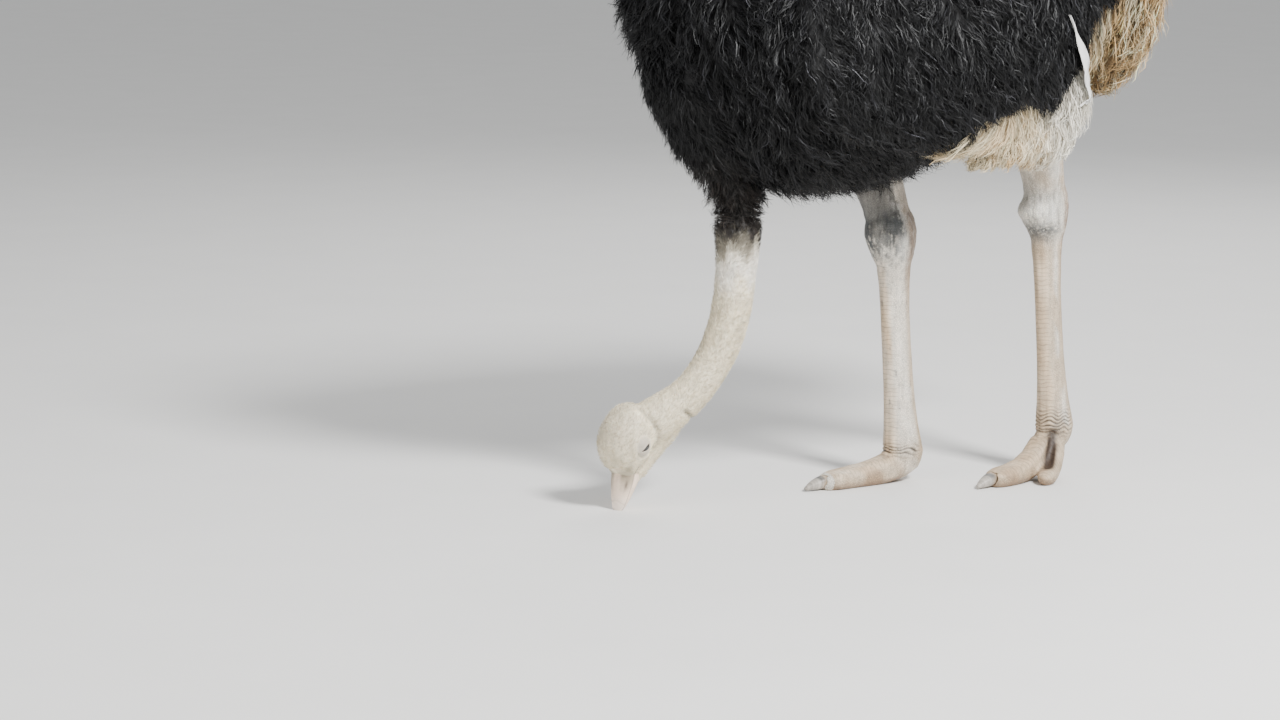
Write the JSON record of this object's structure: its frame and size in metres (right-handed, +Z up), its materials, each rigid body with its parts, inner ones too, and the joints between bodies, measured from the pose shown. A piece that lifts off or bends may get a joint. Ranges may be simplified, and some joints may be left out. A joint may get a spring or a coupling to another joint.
{
  "type": "ostrich",
  "caption": "Life-size still model of an adult male ostrich feeding, with its neck lowered, bill at the ground and one foot forward.",
  "frame": {"origin": "on the floor, under the middle of the bird's bounding box", "axes": "+Z up, the bird faces -Y, +X is its left side"},
  "size_m": [0.6756, 1.3218, 1.3643],
  "materials": {
    "black_plumage": "matte",
    "white_plumes": "matte",
    "tan_plumes": "matte",
    "skin": "matte",
    "bill": "satin",
    "eye": "gloss",
    "claw": "satin"
  },
  "bodies": {
    "root": {"trunk": "black_plumage", "tail": "tan_plumes", "wing_left": "black_plumage", "wing_right": "black_plumage", "wing_plumes_left": "white_plumes", "wing_plumes_right": "white_plumes", "neck_base": "black_plumage", "neck_middle": "skin", "neck_upper": "skin", "head": "skin", "bill_upper": "bill", "bill_lower": "bill", "eye_left": "eye", "eye_right": "eye", "thigh_left": "skin", "thigh_right": "skin", "hock_left": "skin", "hock_right": "skin", "shank_left": "skin", "shank_right": "skin", "toe_inner_left": "skin", "toe_inner_right": "skin", "toe_outer_left": "skin", "toe_outer_right": "skin", "claw_left": "claw", "claw_right": "claw"}
  },
  "joints": []
}
